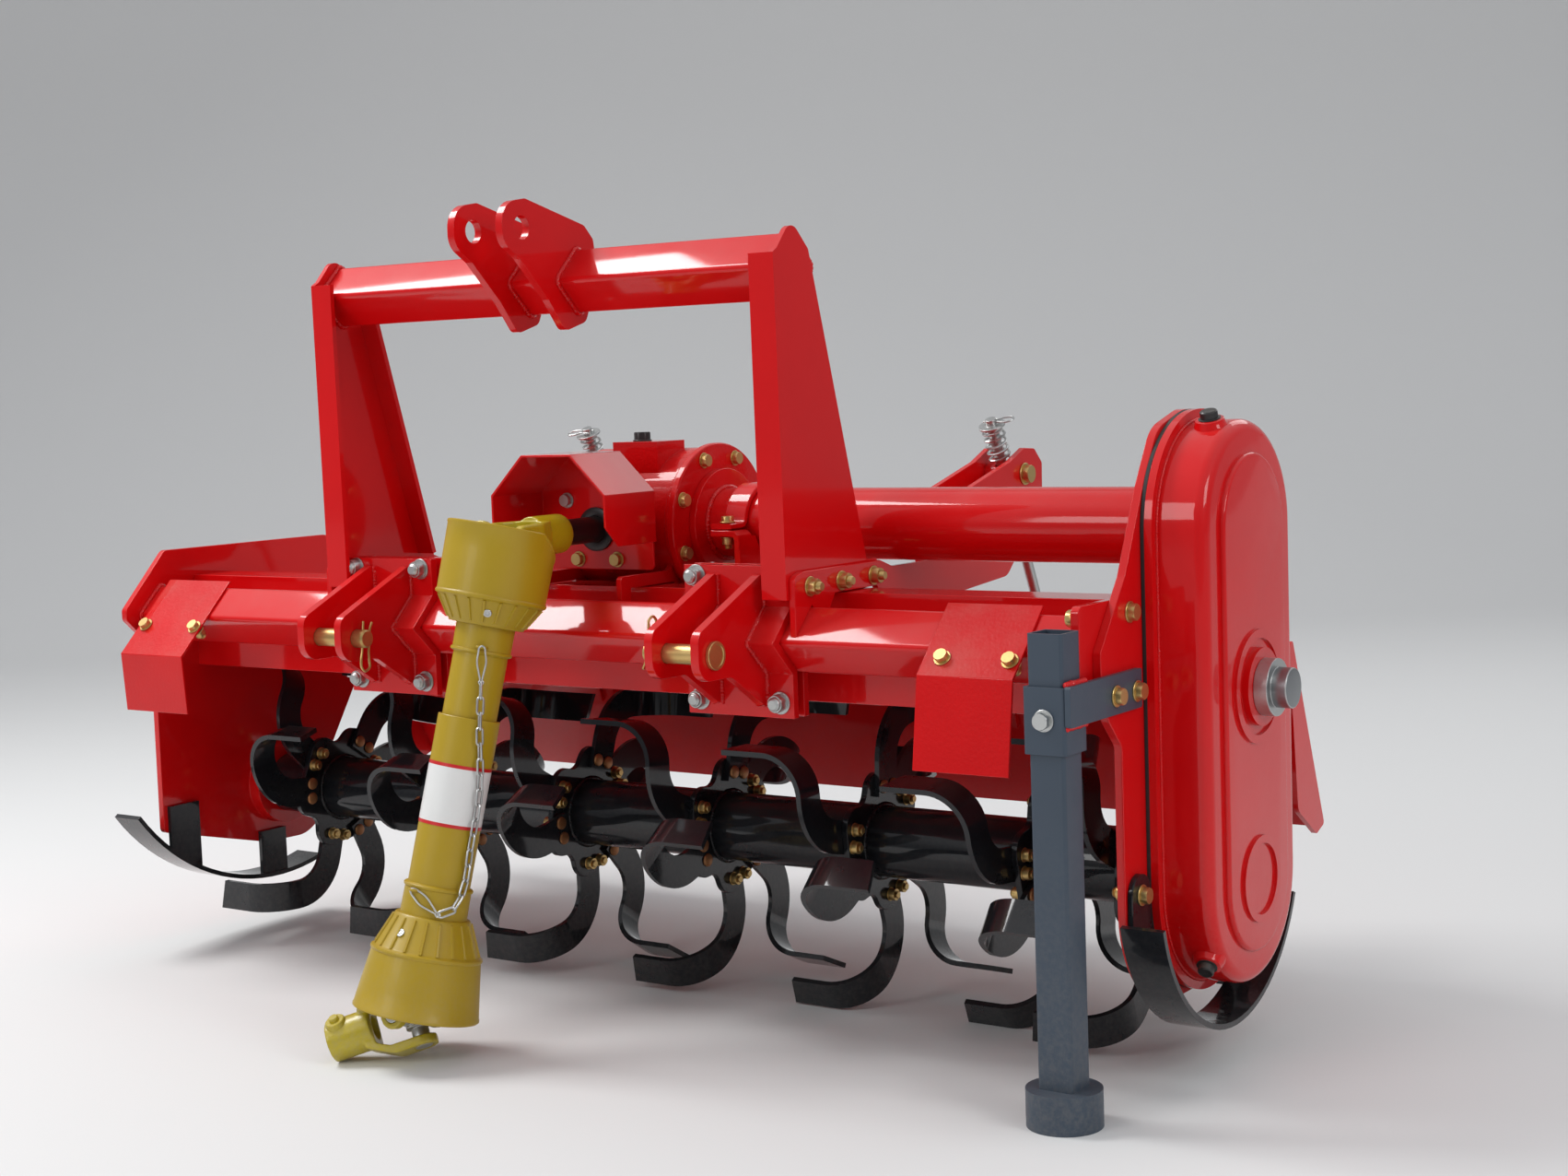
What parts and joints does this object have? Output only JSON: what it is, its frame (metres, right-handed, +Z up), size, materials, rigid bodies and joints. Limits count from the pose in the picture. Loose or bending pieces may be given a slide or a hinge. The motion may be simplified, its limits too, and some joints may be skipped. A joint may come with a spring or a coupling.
{
  "type": "rotary tiller",
  "caption": "Three-point-mounted rotary tiller with a side gear drive, tined rotor, sprung rear board, parking stand and telescoping drive shaft.",
  "frame": {"origin": "middle of the floor area, on the floor", "axes": "+Z up, +X to the right as seen from the front, +Y to the rear"},
  "size_m": [2.029, 1.1645, 1.2387],
  "materials": {
    "red_paint": "glossy powder coat",
    "black_paint": "glossy",
    "grey_paint": "satin",
    "black_steel": "oiled",
    "bright_steel": "zinc plated",
    "yellow_zinc": "yellow zinc plated",
    "gold_cast": "painted casting",
    "yellow_plastic": "satin moulded",
    "gasket": "matt"
  },
  "bodies": {
    "frame": {"toolbar": "red_paint", "mast_left": "red_paint", "mast_right": "red_paint", "top_crossbar": "red_paint", "top_link_plates": "red_paint", "clevis_left": "red_paint", "clevis_right": "red_paint", "clevis_clamps": "red_paint", "gearbox_housing": "red_paint", "gearbox_cover": "red_paint", "gearbox_cradle": "red_paint", "input_guard": "red_paint", "cross_tube": "red_paint", "deck": "red_paint", "end_plate_left": "red_paint", "side_plate_right": "red_paint", "side_drive_cover": "red_paint", "stone_guards": "red_paint", "side_arm_left": "red_paint", "side_arm_right": "red_paint", "hitch_pins": "yellow_zinc", "input_shaft": "black_steel", "hinge_rod": "bright_steel", "drive_gasket": "gasket", "idler_nut": "bright_steel", "skids": "black_paint", "stand_sleeve": "grey_paint", "yoke_gearbox": "gold_cast"},
    "rotor": {"rotor_shaft": "black_paint", "tines_left": "black_paint", "tines_right": "black_paint"},
    "stand": {"stand_leg": "grey_paint"},
    "board": {"rear_board": "red_paint"},
    "swivel_left": {"swivel_left": "red_paint"},
    "swivel_right": {"swivel_right": "red_paint"},
    "rod_left": {"spring_rod_left": "bright_steel", "springs_left": "bright_steel"},
    "rod_right": {"spring_rod_right": "bright_steel", "springs_right": "bright_steel"},
    "cross_upper": {"cross_upper": "bright_steel"},
    "shaft_upper": {"yoke_upper": "gold_cast", "guard_upper": "yellow_plastic"},
    "shaft_lower": {"yoke_lower": "gold_cast", "guard_lower": "yellow_plastic"},
    "cross_lower": {"cross_lower": "bright_steel"},
    "shaft_end": {"yoke_end": "gold_cast"}
  },
  "joints": [
    {"name": "rotor_spin", "type": "hinge", "parent": "frame", "child": "rotor", "pos_m": [-0.0515, 0.04926, 0.263], "axis": [1, 0, 0], "continuous": true},
    {"name": "stand_slide", "type": "slide", "parent": "frame", "child": "stand", "axis": [0, 0, 1], "range_m": [0, 0.25]},
    {"name": "board_swing", "type": "hinge", "parent": "frame", "child": "board", "pos_m": [-0.0515, 0.34926, 0.562], "axis": [1, 0, 0], "range_deg": [0, 28]},
    {"name": "rod_turn_left", "type": "hinge", "parent": "board", "child": "rod_left", "pos_m": [-0.472, 0.56226, 0.501], "axis": [1, 0, 0], "range_deg": [-19, 1], "deforming": ["springs_left"]},
    {"name": "swivel_turn_left", "type": "hinge", "parent": "frame", "child": "swivel_left", "pos_m": [-0.472, 0.42426, 0.8], "axis": [1, 0, 0], "range_deg": [-1, 14]},
    {"name": "rod_turn_right", "type": "hinge", "parent": "board", "child": "rod_right", "pos_m": [0.369, 0.56226, 0.501], "axis": [1, 0, 0], "range_deg": [-19, 1], "deforming": ["springs_right"]},
    {"name": "swivel_turn_right", "type": "hinge", "parent": "frame", "child": "swivel_right", "pos_m": [0.369, 0.42426, 0.8], "axis": [1, 0, 0], "range_deg": [-1, 14]},
    {"name": "shaft_lift", "type": "hinge", "parent": "frame", "child": "cross_upper", "pos_m": [-0.0515, -0.33074, 0.746], "axis": [-1, 0, 0], "range_deg": [-2, 90]},
    {"name": "shaft_sway", "type": "hinge", "parent": "cross_upper", "child": "shaft_upper", "pos_m": [-0.0515, -0.33074, 0.746], "axis": [0, 0.9749, -0.2227], "range_deg": [-15, 15]},
    {"name": "shaft_slide", "type": "slide", "parent": "shaft_upper", "child": "shaft_lower", "axis": [-0.1001, -0.2216, -0.97], "range_m": [0, 0.2]},
    {"name": "yoke_turn", "type": "hinge", "parent": "shaft_lower", "child": "cross_lower", "pos_m": [-0.1215, -0.48574, 0.0676], "axis": [0, -0.9749, 0.2227], "range_deg": [0, 80]},
    {"name": "yoke_tilt", "type": "hinge", "parent": "cross_lower", "child": "shaft_end", "pos_m": [-0.1215, -0.48574, 0.0676], "axis": [0.4697, -0.1966, -0.8607], "range_deg": [-5, 45]}
  ],
  "couplings": [
    {"joint": "rod_turn_left", "follows": "board_swing", "ratio": -0.5775},
    {"joint": "swivel_turn_left", "follows": "board_swing", "ratio": 0.4225},
    {"joint": "rod_turn_right", "follows": "board_swing", "ratio": -0.5775},
    {"joint": "swivel_turn_right", "follows": "board_swing", "ratio": 0.4225}
  ]
}
